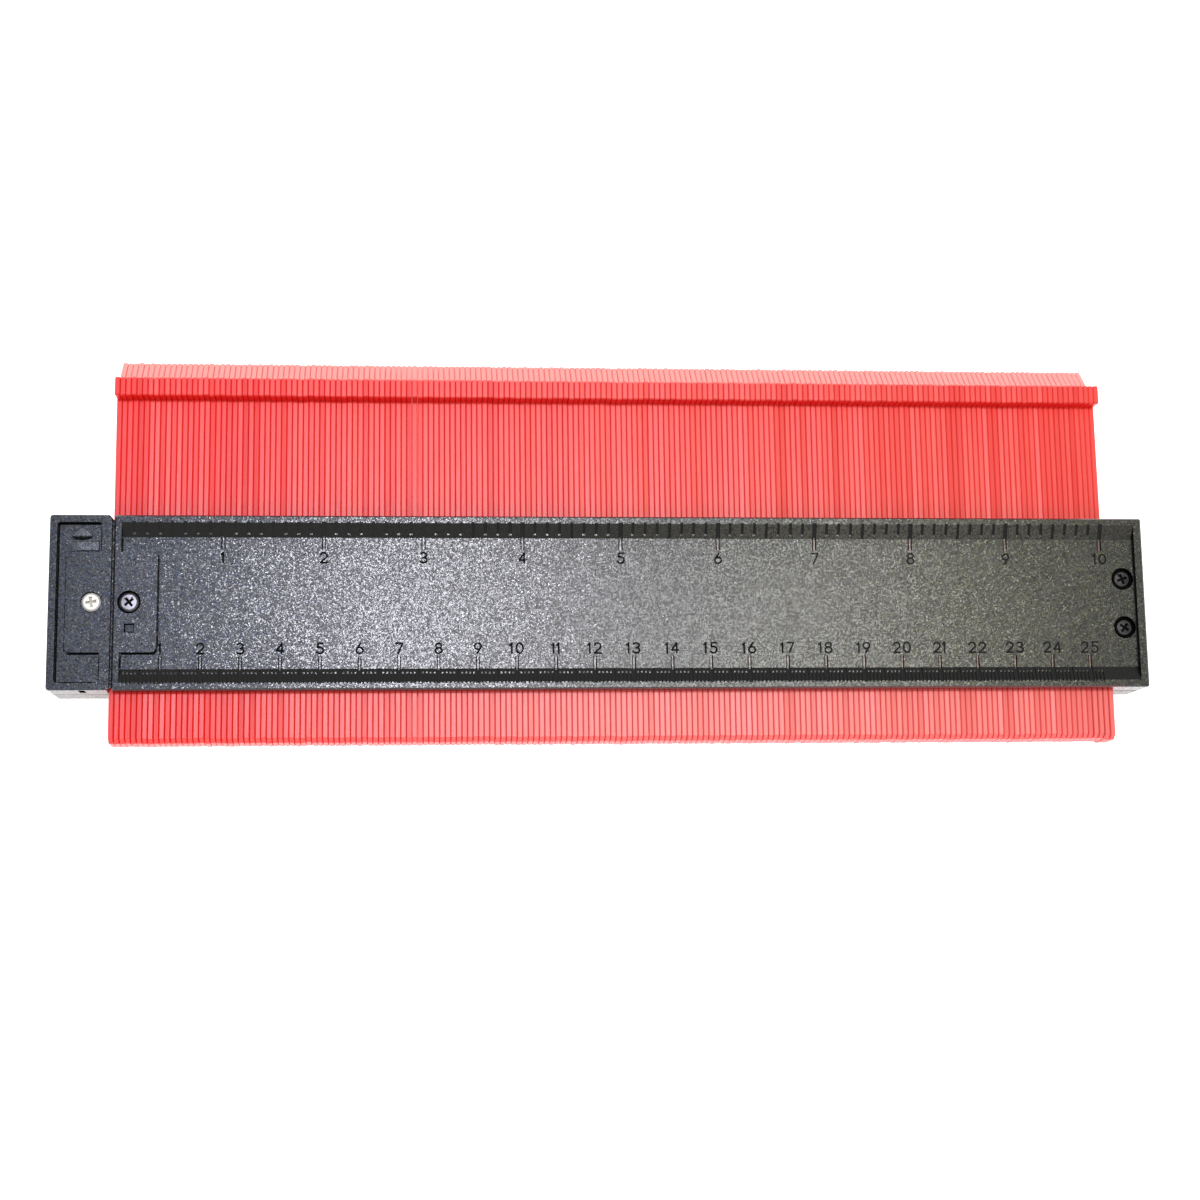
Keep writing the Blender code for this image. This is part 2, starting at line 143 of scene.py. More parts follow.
# %% [markdown]
# ## Nodes as arithmetic
# A finish is a small sum: a grain times a depth, a stain added to a base. Blender writes sums as
# boxes and wires, so a value is wrapped in a class whose plus and times add the box. All other
# boxes come from one method, which takes the kind, its settings and what feeds its sockets.

# %% Shader helpers
class Value:
    """The output of a shader node; arithmetic on it adds Math nodes."""

    def __init__(self, finish, socket):
        self.finish, self.socket = finish, socket

    def _math(self, operation, first, second):
        return self.finish.node("ShaderNodeMath", {0: first, 1: second}, operation=operation)

    def __add__(self, other):
        return self._math("ADD", self, other)

    def __radd__(self, other):
        return self._math("ADD", other, self)

    def __mul__(self, other):
        return self._math("MULTIPLY", self, other)

    def __rmul__(self, other):
        return self._math("MULTIPLY", other, self)


class Finish:
    """A material with one Principled shader and the nodes that feed it."""

    def __init__(self, name, **constants):
        self.material = bpy.data.materials.new(name)
        self.material.use_nodes = True
        self.tree = self.material.node_tree
        self.shader = self.tree.nodes["Principled BSDF"]
        for key, value in constants.items():
            self.feed(self.shader.inputs[key.replace("_", " ")], value)

    def feed(self, socket, value):
        """Links a value to a socket, or sets the socket to a constant."""
        if isinstance(value, Value):
            self.tree.links.new(value.socket, socket)
        else:
            socket.default_value = value

    def node(self, kind, sockets=None, output=0, **settings):
        """A new node of any kind: its settings first, then what feeds its sockets."""
        made = self.tree.nodes.new(kind)
        for key, value in settings.items():
            setattr(made, key, value)
        for key, value in (sockets or {}).items():
            self.feed(made.inputs[key], value)
        return Value(self, made.outputs[output])

    def place(self):
        """Object coordinates: metres in the frame, the same on every piece."""
        return self.node("ShaderNodeTexCoord", output="Object")

    def noise(self, size, detail=2.0, roughness=0.5, stretch=(1, 1, 1)):
        """Noise whose lumps are about size millimetres across, from 0 to 1."""
        spot = self.node("ShaderNodeMapping", {"Vector": self.place(), "Scale": stretch})
        sockets = {"Vector": spot, "Scale": 1 / (size * MM), "Detail": detail, "Roughness": roughness}
        return self.node("ShaderNodeTexNoise", sockets)

    def ramp(self, value, low, high, start=0.0, end=1.0):
        """Carries value from low..high to start..end and holds it at both ends."""
        return self.node("ShaderNodeMapRange", {0: value, 1: low, 2: high, 3: start, 4: end})

    def along(self, left, right, start=0.0, end=1.0):
        """Start left of one place on the scale, end right of the other, even in between."""
        x = self.node("ShaderNodeSeparateXYZ", {0: self.place()}, output="X")
        return self.ramp(x, (left + ZERO_X) * MM, (right + ZERO_X) * MM, start, end)

    def mix(self, share, first, second):
        """A colour between first and second."""
        return self.node("ShaderNodeMix", {0: share, 6: first, 7: second}, output=2, data_type="RGBA")

    def bump(self, height, depth):
        """Tilts the surface by a height from 0 to 1 that stands for depth millimetres."""
        return self.node("ShaderNodeBump", {"Height": height, "Distance": depth * MM})

    def vector(self, operation, first, second=None, **more):
        """Vector Math on one or two vectors."""
        sockets = {0: first} if second is None else {0: first, 1: second}
        return self.node("ShaderNodeVectorMath", {**sockets, **more}, operation=operation)

    def cells(self, size):
        """A random colour for each Voronoi cell about size millimetres across."""
        sockets = {"Vector": self.place(), "Scale": 1 / (size * MM)}
        return self.node("ShaderNodeTexVoronoi", sockets, output="Color")

    def facets(self, size, tilt):
        """Grains about size millimetres across, each tilted its own way: the normal plus two
        vectors, random per Voronoi cell of a coarse and a finer grain, made one long again."""
        both = self.vector("ADD", self.cells(size), self.cells(size * 0.7))
        push = self.vector("SCALE", self.vector("SUBTRACT", both, (1, 1, 1)), Scale=tilt)
        plain = self.node("ShaderNodeNewGeometry", output="Normal")
        return self.vector("NORMALIZE", self.vector("ADD", plain, push))

    def drive(self, **sockets):
        """Feeds the shader's own sockets and returns the finished material."""
        for key, value in sockets.items():
            self.feed(self.shader.inputs[key.replace("_", " ")], value)
        return self.material


print("shader helpers ready")

# %% [markdown]
# ## Black plastic
# The housing is moulded in a spark-eroded tool, which leaves a fine, glittering grain on the
# plastic. The grain could be modelled, but it is only a third of a millimetre across, so the shader
# makes it. A smooth noise used as a bump draws curls where the lamp is mirrored. Small cells that
# each tilt their own way glitter like the real grain, so the normal is pushed by a random vector
# per cell, and some cells are rougher pits. The strips under the scales come out of a polished part
# of the tool, so their grain leans less; their darker base colour is painted shade on the sloped
# faces. Slots get a dull finish, and grooves a near-black one that is painted shade.

# %% Black plastic
def black_plastic(name, base, rough, grain, tilt, sheen, painted_red_reflection=0.0):
    """Moulded black plastic: grain is the cell size in mm, tilt its lean, sheen how it glints.
    The last value paints a little of the fingers' red towards the right end: a painted reflection."""
    finish = Finish(name, Specular_IOR_Level=sheen)
    fine = finish.noise(grain * 1.5, 2.0, 0.6)
    patch = finish.noise(35, 1.0)
    darker, plain, paler = ([c * share for c in base] + [1] for share in (0.85, 1, 1.5))
    colour = finish.mix(finish.ramp(patch, 0.3, 0.7), darker, plain)
    colour = finish.mix(finish.ramp(fine, 0.35, 0.65), colour, paler)
    # Painted reflection of the red fingers, stronger towards the right end.
    if painted_red_reflection:
        red_reflection_share = finish.along(90, 210, 0.0, painted_red_reflection) * finish.along(256, 259, 1.0, 0.0)
        colour = finish.mix(red_reflection_share, colour, (0.85, 0.03, 0.02, 1))
    pits = finish.ramp(finish.cells(grain * 1.1), 0.52, 0.64)
    return finish.drive(
        Base_Color=colour,
        Roughness=rough + 0.05 * finish.ramp(fine, 0.3, 0.7) + 0.18 * pits,
        Normal=finish.facets(grain, tilt),
    )


spark_black = black_plastic("spark_black", (0.015, 0.015, 0.0155), 0.15, 0.31, 0.076, 0.5)
# rim_black carries a little painted reflection of the fingers' red.
rim_black = black_plastic("rim_black", (0.019, 0.019, 0.02), 0.18, 0.27, 0.07, 0.9, 0.11)
# The strips' grain leans less; their darker base colour is painted shade on the sloped faces.
strip_black = black_plastic("strip_black", (0.006, 0.006, 0.0055), 0.18, 0.3, 0.03, 0.4)
slot_black = black_plastic("slot_black", (0.016, 0.016, 0.016), 0.48, 0.2, 0.03, 0.12)
# A near-black finish that paints the shade in grooves, on upright walls, in seams and in screw recesses.
painted_shade_black = black_plastic("painted_shade_black", (0.003, 0.003, 0.0035), 0.48, 0.2, 0.03, 0.06)
BLACKS = (spark_black, rim_black, strip_black, slot_black, painted_shade_black)
GRAIN, RIM, STRIP, SLOT, PAINTED_SHADE = range(5)
print("black plastics:", [m.name for m in BLACKS])

# %% [markdown]
# ## Metal and felt
# The two screws at the right end are blackened steel. The screw in the pad had the same coat, but
# it is rubbed down to a lilac grey. The screw of the end block is zinc plated and pale, and its
# recess gets a darker, browner zinc as painted shade. The two felt strips are pressed wool, so they
# get a soft, directionless fuzz.

# %% Metal and felt
def plated(name, dark, pale, rough, metallic):
    """A thin coat on steel: cloudy between dark and pale, with fine turning marks."""
    finish = Finish(name, Metallic=metallic)
    cloud = finish.noise(1.6, 3.0)
    marks = finish.noise(0.12, 2.0, 0.6)
    return finish.drive(
        Base_Color=finish.mix(finish.ramp(cloud, 0.3, 0.7), dark, pale),
        Roughness=rough + 0.12 * marks,
        Normal=finish.bump(marks, 0.006),
    )


black_steel = plated("blackened_steel", (0.024, 0.023, 0.025, 1), (0.055, 0.053, 0.056, 1), 0.3, 0.9)
grey_steel = plated("rubbed_steel", (0.26, 0.255, 0.29, 1), (0.4, 0.39, 0.44, 1), 0.36, 0.9)
zinc = plated("zinc", (0.86, 0.84, 0.79, 1), (0.95, 0.94, 0.91, 1), 0.4, 0.35)
# Painted shade: a darker, browner zinc for the cross recess of the end block's screw.
zinc_painted_shade = plated("zinc_painted_shade", (0.5, 0.46, 0.38, 1), (0.66, 0.62, 0.53, 1), 0.45, 0.35)

wool = Finish("wool_felt", Specular_IOR_Level=0.1, Sheen_Weight=0.3)
fibres = wool.noise(0.25, 4.0, 0.7)
wool.drive(
    Base_Color=wool.mix(fibres, (0.012, 0.012, 0.013, 1), (0.07, 0.07, 0.072, 1)),
    Roughness=0.9 + 0.08 * fibres,
    Normal=wool.bump(fibres, 0.2),
)
felt = wool.material
print("metals and felt:", [m.name for m in (black_steel, grey_steel, zinc, zinc_painted_shade, felt)])

# %% [markdown]
# ## Red plastic
# The fingers are moulded in bright red plastic. No two have quite the same tone: each carries a
# value named tone, from 0 to 1. Their sloped tips, which face the lamps, carry a face value that
# paints them pale: painted light. The faces under the ridge and at the foot carry one that paints
# them a darker red: painted shade. A fine grain runs along the finger. The feet, and the right
# part of the row a little, are painted a paler red: a painted sheen.

# %% Red plastic
red = Finish("finger_red", Specular_IOR_Level=0.55)
FACE_VALUES = ("tone", "painted_tip_light", "painted_under_shade")
tone, painted_tip_light, painted_under_shade = (
    red.node("ShaderNodeAttribute", output="Fac", attribute_name=label) for label in FACE_VALUES
)
drawn = red.noise(0.5, 3.0, 0.6, stretch=(1, 0.06, 1))
cloudy = red.noise(7, 2.0, 0.5, stretch=(1, 0.3, 1))
body_red = red.mix(tone, (0.86, 0.012, 0.009, 1), (0.96, 0.030, 0.023, 1))
body_red = red.mix(0.35 * red.ramp(cloudy, 0.35, 0.7), body_red, (0.94, 0.06, 0.046, 1))
across = red.node("ShaderNodeSeparateXYZ", {0: red.place()}, output="Y")
below = red.ramp(across, -21.5 * MM, -23.5 * MM)
# Painted sheen: the feet, and the right part of the row a little, get a paler red.
painted_sheen = red.along(15, 120) * (0.12 + 0.5 * below) * red.along(170, 270, 1.0, 0.75)
body_red = red.mix(painted_sheen, body_red, (0.97, 0.27, 0.25, 1))
# Painted shade: a darker red under the ridge and at the foot end.
body_red = red.mix(painted_under_shade, body_red, (0.85, 0.006, 0.003, 1))
# Painted light: the pale red of the sloped tips.
tip_red = red.mix(drawn, (0.95, 0.22, 0.19, 1), (0.98, 0.34, 0.30, 1))
red.drive(
    Base_Color=red.mix(painted_tip_light, body_red, tip_red),
    Roughness=0.28 + 0.12 * drawn,
    Normal=red.bump(drawn, 0.02),
)
print("fingers:", red.material.name)

# %% [markdown]
# ## Pieces out of tables of points
# Every new piece is a table of points worked out in one go. A profile, a closed outline, is
# carried through a number of stations, and neighbouring stations are joined by four-sided faces.
# The two ends are closed with one face each, so the piece is watertight.

# %% Meshes from numpy
def inset(profile, depth):
    """The closed outline moved inwards: each corner goes along the mean of its two edge normals,
    by depth divided by the cosine of half the turn, so every edge moves by the same depth."""
    edge = np.roll(profile, -1, 0) - profile
    edge /= np.linalg.norm(edge, axis=1, keepdims=True)
    (x, y), (next_x, next_y) = profile.T, np.roll(profile, -1, 0).T
    area = np.sum(x * next_y - y * next_x)
    normal = np.stack((-edge[:, 1], edge[:, 0]), 1) * np.sign(area)
    mean = normal + np.roll(normal, 1, 0)
    mean /= np.maximum(np.sum(mean * normal, 1, keepdims=True), 0.35)
    return profile + mean * np.broadcast_to(depth, len(profile))[:, None]


def tube_faces(stations, corners, closed=False):
    """Faces of corners points carried through stations: a ring of quads between each pair, and
    two end faces unless the path comes back to its start."""
    s = np.arange(stations if closed else stations - 1)[:, None]
    c = np.arange(corners)[None, :]
    a, b = s * corners, (s + 1) % stations * corners
    n = (c + 1) % corners
    quads = np.stack((a + c, a + n, b + n, b + c), -1).reshape(-1, 4)
    first = np.arange(corners)
    ends = [] if closed else [first[::-1], first + (stations - 1) * corners]
    return [*quads.tolist(), *[e.tolist() for e in ends]]


def make_mesh(name, parts):
    """One mesh of several (points in mm, faces) parts, with its faces turned outwards."""
    starts = np.cumsum([0] + [len(p) for p, _ in parts[:-1]])
    points = metres(np.concatenate([p for p, _ in parts]))
    faces = [[i + start for i in face] for start, (_, part) in zip(starts, parts) for face in part]
    mesh = bpy.data.meshes.new(name)
    mesh.from_pydata(points, [], faces)
    bm = bmesh.new()
    bm.from_mesh(mesh)
    bmesh.ops.recalc_face_normals(bm, faces=bm.faces)
    bm.to_mesh(mesh)
    bm.free()
    return mesh


def show(name, mesh, body, slot, *finishes):
    """Links a piece, lets it ride on a CAD body and gives it its finishes."""
    obj = bpy.data.objects.new(name, mesh)
    bpy.context.scene.collection.objects.link(obj)
    for finish in finishes:
        mesh.materials.append(finish)
    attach(obj, body)
    return obj


print("mesh helpers ready")

# %% [markdown]
# ## The fingers
# Each finger is a flat strip: a thick foot that runs on into the housing, a thinner web, a raised
# ridge, and a tip that ends in a sloped nose. The solids hold them in groups of four. Here each
# finger is its own strip with eased flanks, so a fine dark line shows between neighbours. A sheet
# with cut lines would be quicker, but single strips catch the light one by one. They lie almost
# without play, because white paper would shine through wider gaps where the camera looks along.

# %% Finger shape
PER_GROUP = 4
PITCH = 1.409
FINGERS_LEFT = -2.85
PLAY = 0.03
EASED = 0.2
FOOT_ROUND, FLANK_ROUND = 0.34, 0.22
TILT, SHIFT, LARGEST_SHIFT = 0.045, 0.06, 0.2
LEANING_FROM, LEAN, LEAN_CENTRE = 179, 0.005, 25
LOW_FROM, LOW_BY = 181, 0.3

outline = np.array([
    (-34.9, 3.3), (58.0, 3.3), (61.0, 0.95), (66.25, 0.95), (66.75, 1.5), (66.45, 1.8), (59.5, 8.75),
    (59.1, 9.35), (59.1, 15.65), (58.75, 16.0), (54.5, 16.0), (54.2, 15.7), (54.2, 11.4), (2.2, 11.4),
    (2.2, 14.05), (-34.1, 14.05), (-35.3, 12.45), (-35.5, 8.68), (-35.4, 4.9),
])
ease = np.where(outline[:, 0] < -33, FOOT_ROUND, FLANK_ROUND)
nose, under_ridge, foot_end = slice(4, 7), 11, slice(15, 19)
# Face values: painted light on the sloped nose, painted shade under the ridge and at the foot end.
painted_tip_light_edges, painted_under_shade_edges = np.zeros(len(outline)), np.zeros(len(outline))
painted_tip_light_edges[nose] = 1.0
painted_under_shade_edges[under_ridge] = 1.0
painted_under_shade_edges[foot_end] = (0.4, 1.0, 1.0, 1.0)
half = (PITCH - PLAY) / 2
stations = np.array([-half, -half + EASED, half - EASED, half])
chance = np.random.default_rng(7)


def finger(number):
    """Points of one finger: the outline carried along X through four stations, drawn in at the
    outer two, tilted a hair about its length and shifted a hair along it. The last four lean
    outwards at the foot, each a little more than the one before, and the feet of the last two
    sit lower."""
    drawn_in = inset(outline, ease)
    rings = np.stack([drawn_in, outline, outline, drawn_in])
    middle = FINGERS_LEFT + (number + 0.5) * PITCH
    tilt = chance.normal(0, TILT)
    shift = np.clip(chance.normal(0, SHIFT), -LARGEST_SHIFT, LARGEST_SHIFT)
    lean = LEAN * max(0, (number - LEANING_FROM) / 4)
    lower = LOW_BY * (number > LOW_FROM) * (rings[..., 0] < 0)
    points = np.empty(rings.shape[:2] + (3,))
    points[..., 0] = middle + stations[:, None] - lean * (rings[..., 0] - LEAN_CENTRE)
    points[..., 1] = rings[..., 0] + shift - lower
    points[..., 2] = rings[..., 1] + tilt * stations[:, None]
    return points.reshape(-1, 3)


faces = tube_faces(len(stations), len(outline))
print("one finger:", len(faces), "faces")

# %% Finger groups
def per_face(edges):
    """A value per edge of the outline, for every ring of faces and four fingers; end faces get 0."""
    return np.tile(np.append(np.tile(edges, len(stations) - 1), (0, 0)), PER_GROUP)


groups = sorted(n for n in nodes if n.startswith("finger_group_"))
for index, name in enumerate(groups):
    numbers = range(index * PER_GROUP, (index + 1) * PER_GROUP)
    mesh = make_mesh(f"{name}_strips", [(finger(k), faces) for k in numbers])
    tones = np.repeat(np.clip(chance.normal(0.6, 0.3, PER_GROUP), 0, 1), len(faces))
    for label, values in zip(FACE_VALUES, (tones, per_face(painted_tip_light_edges), per_face(painted_under_shade_edges))):
        layer = mesh.attributes.new(label, "FLOAT", "FACE")
        layer.data.foreach_set("value", values.astype(np.float32))
    piece = show(f"{name}_strips", mesh, name, "red_plastic", red.material)
    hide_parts(name)
print("finger groups dressed:", len(groups))

# %% [markdown]
# ## Numbers of the scales
# The tool engraves each number with a round-ended cutter that follows a centre line. The same is
# done here: a digit is a few strokes, each a line or an arc in a unit box, and a cutter with a
# tapered section is carried along it. A typeface would be quicker, but its strokes change width.

# %% Strokes of the digits
def line(*points):
    """A straight stroke through points of the unit box, sampled at even steps."""
    ends = np.array(points, float)
    return ends[:1] + (ends[-1:] - ends[:1]) * np.linspace(0, 1, 7)[:, None]


def arc(cx, cy, rx, ry, start, end):
    """A stroke round (cx, cy): cosine and sine of the angle, from start to end in degrees."""
    angle = np.radians(np.linspace(start, end, 25))
    return np.stack((cx + rx * np.cos(angle), cy + ry * np.sin(angle)), 1)


DIGITS = {
    "0": [arc(0.5, 0.5, 0.48, 0.5, 0, 360)],
    "1": [line((0.5, 0), (0.5, 1)), line((0.24, 0.8), (0.46, 0.94))],
    "2": [arc(0.5, 0.69, 0.46, 0.31, 165, -38), line((0.87, 0.5), (0.04, 0)), line((0.04, 0), (1, 0))],
    "3": [arc(0.48, 0.76, 0.42, 0.24, 150, -90), arc(0.48, 0.26, 0.5, 0.26, 90, -155)],
    "4": [line((0.74, 0), (0.74, 1)), line((0.7, 0.96), (0, 0.3)), line((0.03, 0.28), (1, 0.28))],
    "5": [arc(0.47, 0.32, 0.5, 0.32, 125, -150), line((0.18, 0.58), (0.24, 1)), line((0.24, 1), (0.92, 1))],
    "6": [arc(0.5, 0.3, 0.48, 0.3, 0, 360), line((0.08, 0.44), (0.62, 1))],
    "7": [line((0.02, 1), (1, 1)), line((1, 1), (0.34, 0))],
    "8": [arc(0.5, 0.77, 0.4, 0.23, 0, 360), arc(0.5, 0.27, 0.48, 0.27, 0, 360)],
    "9": [arc(0.5, 0.7, 0.48, 0.3, 0, 360), line((0.92, 0.56), (0.38, 0))],
}
print("strokes:", sum(len(s) for s in DIGITS.values()))

# %% Engraving cutter
PANEL_Z = 16.4
STROKE = 0.47
DIGIT_SIZE = (1.75, 2.6)
ROOM, ROOM_OF_ONE = 2.7, 1.35
CM_NUMBERS_Y, INCH_NUMBERS_Y = -11.7, 11.75


def stroke_cutter(path, depth=0.28):
    """A cutter along path: at each station a tapered section, wide above the panel and narrow at
    depth, stands across the path. Near open ends its width falls as a quarter circle."""
    loop = np.allclose(path[0], path[-1])
    if loop:
        path = path[:-1]
        ahead = np.roll(path, -1, 0) - np.roll(path, 1, 0)
        width = np.ones(len(path))
    else:
        along = (path[-1] - path[-2], path[0] - path[1])
        tail, head = (a / np.linalg.norm(a) * STROKE / 2 for a in along)
        before = (path[:1] + head * 0.97, path[:1] + head * 0.7)
        path = np.concatenate((*before, path, path[-1:] + tail * 0.7, path[-1:] + tail * 0.97))
        ahead = np.gradient(path, axis=0)
        width = np.ones(len(path))
        width[[0, -1]], width[[1, -2]] = 0.25, 0.72
    ahead /= np.linalg.norm(ahead, axis=1, keepdims=True)
    across = np.stack((-ahead[:, 1], ahead[:, 0]), 1) * width[:, None] * STROKE / 2
    reach = np.array([1.15, 0.55, -0.55, -1.15])
    height = PANEL_Z + np.array([0.1, -depth, -depth, 0.1])
    points = np.empty((len(path), 4, 3))
    points[..., :2] = path[:, None] + across[:, None] * reach[None, :, None]
    points[..., 2] = height
    return points.reshape(-1, 3), tube_faces(len(path), 4, loop)


def number(text, x, y):
    """The cutters of a number centred at (x, y), in three lists: first, second, third strokes."""
    layers = [[], [], []]
    room = np.array([ROOM_OF_ONE if letter == "1" else ROOM for letter in text])
    middles = x + np.cumsum(room) - room / 2 - room.sum() / 2
    for middle, letter in zip(middles, text):
        corner = np.array((middle, y)) - np.array(DIGIT_SIZE) / 2
        for layer, stroke in zip(layers, DIGITS[letter]):
            layer.append(stroke_cutter(corner + stroke * DIGIT_SIZE))
    return layers


layers = [[], [], []]
numbers = [(str(n), 10.0 * n, CM_NUMBERS_Y) for n in range(1, 26)]
numbers += [(str(n), INCH * n, INCH_NUMBERS_Y) for n in range(1, 11)]
for text, x, y in numbers:
    for layer, strokes in zip(layers, number(text, x, y)):
        layer.extend(strokes)
print("number strokes:", [len(layer) for layer in layers])

# %% [markdown]
# ## Ticks of the scales
# Every tick is a short slot across a sloped strip: tenths of a centimetre below, eighths of an inch
# above. A slot runs down the slope at even depth and ends in a small level floor, which catches
# the lamp as a bright dot. The longer ticks reach the foot of the slope, and the numbered ones go
# on into the panel.

# %% Tick cutters
SLOPE_FOOT, SLOPE_TOP = 16.9, 20.5
RISE = (THICKNESS - PANEL_Z) / (SLOPE_TOP - SLOPE_FOOT)
LOWER_SCALE, UPPER_SCALE = -1, 1
LEVEL_FLOOR = 0.45


def tick_cutter(x, width, end, side, depth=0.3, level=LEVEL_FLOOR):
    """A slot at x from just past the slope's top to end, both as distances from the middle: its
    floor is the slope's line lowered by depth, then level up to the end."""
    def slope(y):
        return PANEL_Z + (y - SLOPE_FOOT) * RISE

    top = SLOPE_TOP + 0.3
    floor = slope(end + level) - depth if level else max(slope(end), PANEL_Z) - depth
    outline = np.array([
        (top, THICKNESS + 0.5), (end, THICKNESS + 0.5), (end, floor), (end + level, floor),
        (top, slope(top) - depth),
    ])
    if not level:
        outline = np.delete(outline, 3, 0)
    points = np.empty((2, len(outline), 3))
    points[..., 0] = x + np.array([[-width / 2], [width / 2]])
    points[..., 1] = outline[:, 0] * side
    points[..., 2] = outline[:, 1]
    return points.reshape(-1, 3), tube_faces(2, len(outline))


def panel_cutter(x, width, start, end, side, depth=0.25):
    """The part of a long tick that lies in the panel: a straight slot of even depth, with a wide
    section just above the panel and a third of that width at its floor."""
    points = np.empty((3, 2, 4))
    points[2] = PANEL_Z + np.array([[0.1], [-depth]])
    points[1] = np.array([start, end, end, start]) * side
    points[0] = x + np.array([[0.58], [0.2]]) * width * np.array([-1, -1, 1, 1])
    return points.reshape(3, -1).T, tube_faces(2, 4)


def short_tick(x, width, end, side, halfway):
    """A tick between two numbers; the one halfway is a little longer and has no level floor."""
    return tick_cutter(x, width, 17.0 if halfway else end, side, level=0 if halfway else LEVEL_FLOOR)


ticks = [short_tick(n * 1.0, 0.42, 17.75, LOWER_SCALE, n % 5 == 0) for n in range(1, 254) if n % 10]
ticks += [short_tick(n * INCH / 8, 0.7, 17.6, UPPER_SCALE, n % 4 == 0) for n in range(1, 80) if n % 8]
numbered = [(10.0 * n, LOWER_SCALE, 0.98, 13.7) for n in range(1, 26)]
numbered += [(INCH * n, UPPER_SCALE, 1.12, 13.95) for n in range(1, 11)]
long_ticks = []
for x, side, width, end in numbered:
    ticks.append(tick_cutter(x, width, SLOPE_FOOT - 0.05, side, level=0))
    long_ticks.append(panel_cutter(x, width, SLOPE_FOOT + 0.3, end, side))
print("ticks:", len(ticks), "of them into the panel:", len(long_ticks))

# %% [markdown]
# ## Grooves
# A fine line of shade runs round the raised pad, and a few more lie in the end block. The real
# lines are the feet of moulded steps, in shade. Lines painted by a finish would blur, so each is
# cut as a narrow groove along a path of straight runs, whose walls take the near-black finish as
# painted shade.

# %% Groove cutters
def plate(ring, low, high):
    """A flat outline carried from low to high."""
    ring = np.array(ring, float)
    points = np.concatenate([np.column_stack((ring, np.full(len(ring), z))) for z in (low, high)])
    return points, tube_faces(2, len(ring))


def groove_cutter(path, width, depth=0.35):
    """A groove along straight runs: the path moved to either side by half the width, divided at a
    corner by the cosine of half the turn, and carried from depth to just above the panel."""
    path = np.array(path, float)
    run = np.diff(path, axis=0)
    run /= np.linalg.norm(run, axis=1, keepdims=True)
    side = np.stack((-run[:, 1], run[:, 0]), 1)
    before, after = np.concatenate((side[:1], side)), np.concatenate((side, side[-1:]))
    across = (before + after) / np.sum((before + after) * after, 1, keepdims=True) * width / 2
    return plate(np.concatenate((path + across, (path - across)[::-1])), PANEL_Z - depth, PANEL_Z + 0.3)


pad_outline = [
    groove_cutter([(0.4, 12.93), (8.3, 12.93), (9.37, 11.9), (9.37, -11.5)], 0.26),
    groove_cutter([(9.2, -12.2), (8.5, -13.02), (0.4, -13.02)], 0.4),
    groove_cutter([(0.22, 13.2), (0.22, 16.7)], 0.3),
    groove_cutter([(0.22, -13.4), (0.22, -16.7)], 0.3),
]
print("grooves round the pad:", len(pad_outline))

# %% [markdown]
# ## Front shell
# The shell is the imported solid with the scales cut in. A copy of its mesh is merged first, since
# the frame brings it as loose triangles. Strokes that overlap within a digit are cut in turn, so
# that no cutter crosses itself. The number each face then gets for its finish follows from where
# it lies and which way it faces, which is quicker than picking faces by hand.

# %% Engraved front shell
def merged_copy(node):
    """The mesh of a CAD node with its doubled corners joined."""
    mesh = nodes[node].data.copy()
    bm = bmesh.new()
    bm.from_mesh(mesh)
    bmesh.ops.remove_doubles(bm, verts=bm.verts, dist=1e-7)
    bmesh.ops.dissolve_limit(bm, angle_limit=math.radians(0.5), verts=bm.verts, edges=bm.edges)
    bm.to_mesh(mesh)
    bm.free()
    return mesh


def cut(mesh, parts, finish):
    """The mesh with the parts taken away; the new walls keep the cutter's finish."""
    obj = bpy.data.objects.new("blank", mesh)
    tool = bpy.data.objects.new("tool", make_mesh("tool", parts))
    tool.data.materials.append(finish)
    for o in (obj, tool):
        bpy.context.scene.collection.objects.link(o)
    step = obj.modifiers.new("cut", "BOOLEAN")
    step.operation, step.solver, step.object = "DIFFERENCE", "EXACT", tool
    step.material_mode = "TRANSFER"
    result = bpy.data.meshes.new_from_object(obj.evaluated_get(bpy.context.evaluated_depsgraph_get()))
    for o in (obj, tool):
        bpy.data.objects.remove(o)
    return result


shell = merged_copy("front_shell")
shell.materials.clear()
shell.materials.append(spark_black)
# The cut walls take the near-black finish: painted shade in the engraving.
for parts in (ticks, long_ticks, *layers, pad_outline):
    shell = cut(shell, parts, painted_shade_black)
print("engraved shell:", len(shell.polygons), "faces,", [m.name for m in shell.materials])


# %% Faces by finish
def sort_faces(mesh, finishes, choose):
    """Gives each face the finish whose number choose returns from centres, normals and numbers,
    and counts the faces of each finish."""
    count = len(mesh.polygons)
    centres, normals, index = np.empty(count * 3), np.empty(count * 3), np.empty(count, np.int32)
    mesh.polygons.foreach_get("center", centres)
    mesh.polygons.foreach_get("normal", normals)
    mesh.polygons.foreach_get("material_index", index)
    centres = centres.reshape(-1, 3) / MM - (ZERO_X, 0, 0)
    index = choose(centres, normals.reshape(-1, 3), index)
    mesh.materials.clear()
    for finish in finishes:
        mesh.materials.append(finish)
    mesh.polygons.foreach_set("material_index", index.astype(np.int32))
    mesh.update()
    return np.bincount(index, minlength=len(finishes))


print("finishes by number:", dict(zip(("grain", "rim", "strip", "slot", "groove"), range(len(BLACKS)))))

# %% Front shell finishes
PAD_SCREW_X = 2.26
HOUSING_SCREW_X, HOUSING_SCREW_Y = RIGHT_END - 5.35, 6.45
SCREW_RING = 3.05
LUG_X, LUG_Y = 2.44, -6.64
RIGHT_RIM = 1.9
SHALLOW_Y = 13.5
PALE_NUMBERS_FROM = 170
SHADE_ENDS = 88


